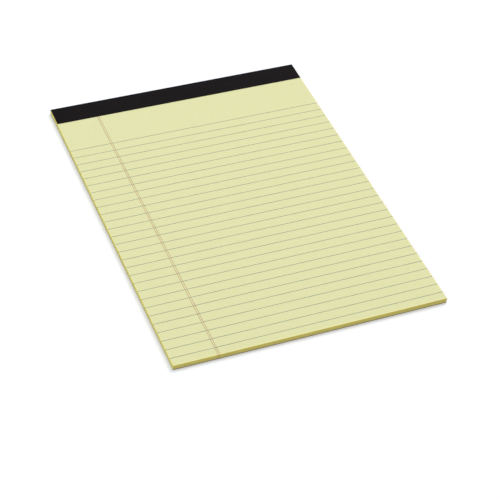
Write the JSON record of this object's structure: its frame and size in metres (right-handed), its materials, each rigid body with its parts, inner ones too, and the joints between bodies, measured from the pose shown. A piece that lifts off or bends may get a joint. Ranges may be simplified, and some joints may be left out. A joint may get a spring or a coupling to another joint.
{
  "type": "legal pad",
  "caption": "Ruled writing pad: a block of yellow sheets with a double margin line, perforated below a black binding tape that wraps the stapled stub, on a chipboard back.",
  "frame": {"origin": "centre of the pad's underside, on the surface that it lies on", "axes": "+X to the right across the page, +Y up the page to the bound edge, +Z out of the page"},
  "size_m": [0.216, 0.2987, 0.0046],
  "materials": {
    "chipboard": "matte grey-brown chipboard with visible fibres",
    "yellow_paper": "matte uncoated yellow writing paper",
    "black_tape": "satin coated black binding tape",
    "staple_wire": "satin galvanised wire",
    "rule_ink": "matte blue printed ink",
    "margin_ink": "matte red printed ink"
  },
  "bodies": {
    "root": {"backing_board": "chipboard", "sheet_block": "yellow_paper", "binding_tape": "black_tape", "staple_1": "staple_wire", "staple_2": "staple_wire", "staple_3": "staple_wire", "staple_4": "staple_wire", "ruled_lines": "rule_ink", "margin_lines": "margin_ink"}
  },
  "joints": []
}
